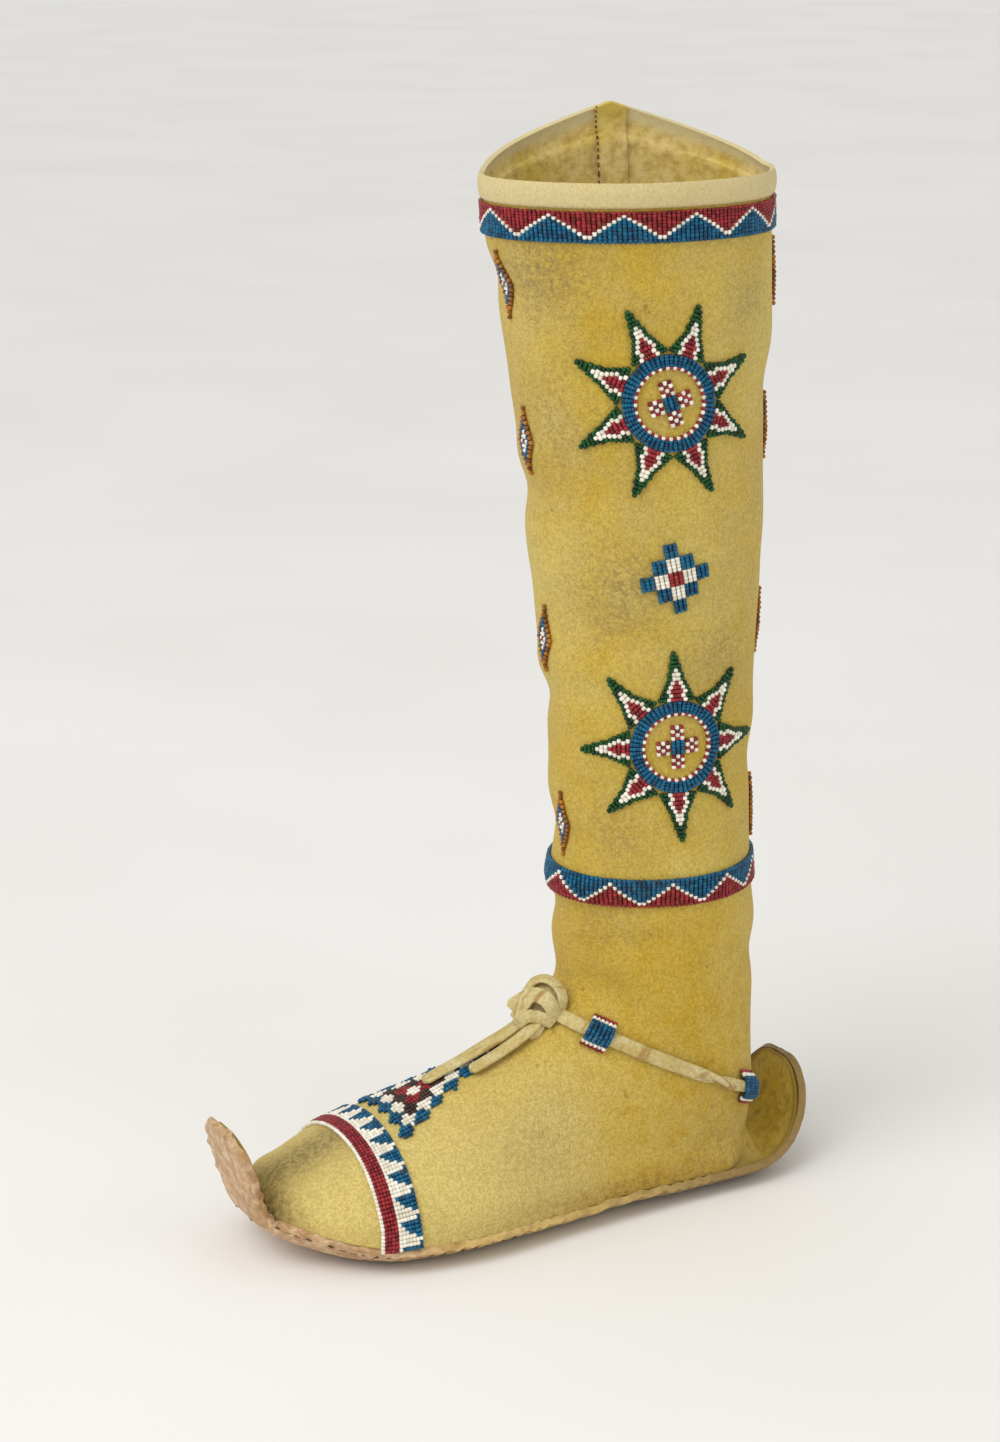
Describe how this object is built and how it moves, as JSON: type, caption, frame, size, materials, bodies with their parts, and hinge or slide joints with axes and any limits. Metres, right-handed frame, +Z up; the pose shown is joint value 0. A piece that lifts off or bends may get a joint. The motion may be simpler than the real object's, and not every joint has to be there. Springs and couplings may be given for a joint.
{
  "type": "boot moccasin",
  "caption": "Tall soft-hide boot moccasin with a stiff rawhide sole, upturned round toe tab and heel lip, beaded bands, stars and lozenges, and a knotted ankle thong",
  "frame": {"origin": "middle of the boot's box, on the floor under the sole", "axes": "+Z up the shaft, -Y toward the toe, +X toward the outer side of this left boot"},
  "size_m": [0.0988, 0.2646, 0.4458],
  "materials": {
    "hide": "suede",
    "rawhide": "satin",
    "thong": "matte",
    "blue_beads": "gloss",
    "red_beads": "gloss",
    "green_beads": "gloss",
    "amber_beads": "gloss"
  },
  "bodies": {
    "root": {"upper": "hide", "sole": "rawhide", "toe_tab_facing": "hide", "heel_lip_facing": "hide", "collar_band": "red_beads", "calf_band": "blue_beads", "toe_band": "red_beads", "star_outer_upper": "green_beads", "flower_outer_upper": "blue_beads", "checker_outer": "blue_beads", "star_outer_lower": "green_beads", "flower_outer_lower": "blue_beads", "star_inner_upper": "green_beads", "flower_inner_upper": "blue_beads", "checker_inner": "blue_beads", "star_inner_lower": "green_beads", "flower_inner_lower": "blue_beads", "lozenge_front_1": "amber_beads", "lozenge_front_2": "amber_beads", "lozenge_front_3": "amber_beads", "lozenge_front_4": "amber_beads", "lozenge_back_1": "amber_beads", "lozenge_back_2": "amber_beads", "lozenge_back_3": "amber_beads", "lozenge_back_4": "amber_beads", "vamp_triangle": "blue_beads", "ankle_tie": "thong", "keeper_outer_front": "blue_beads", "keeper_outer_back": "blue_beads", "keeper_inner_front": "blue_beads", "keeper_inner_back": "blue_beads", "tie_knot": "thong", "tie_end_long": "thong", "tie_end_short": "thong"}
  },
  "joints": []
}
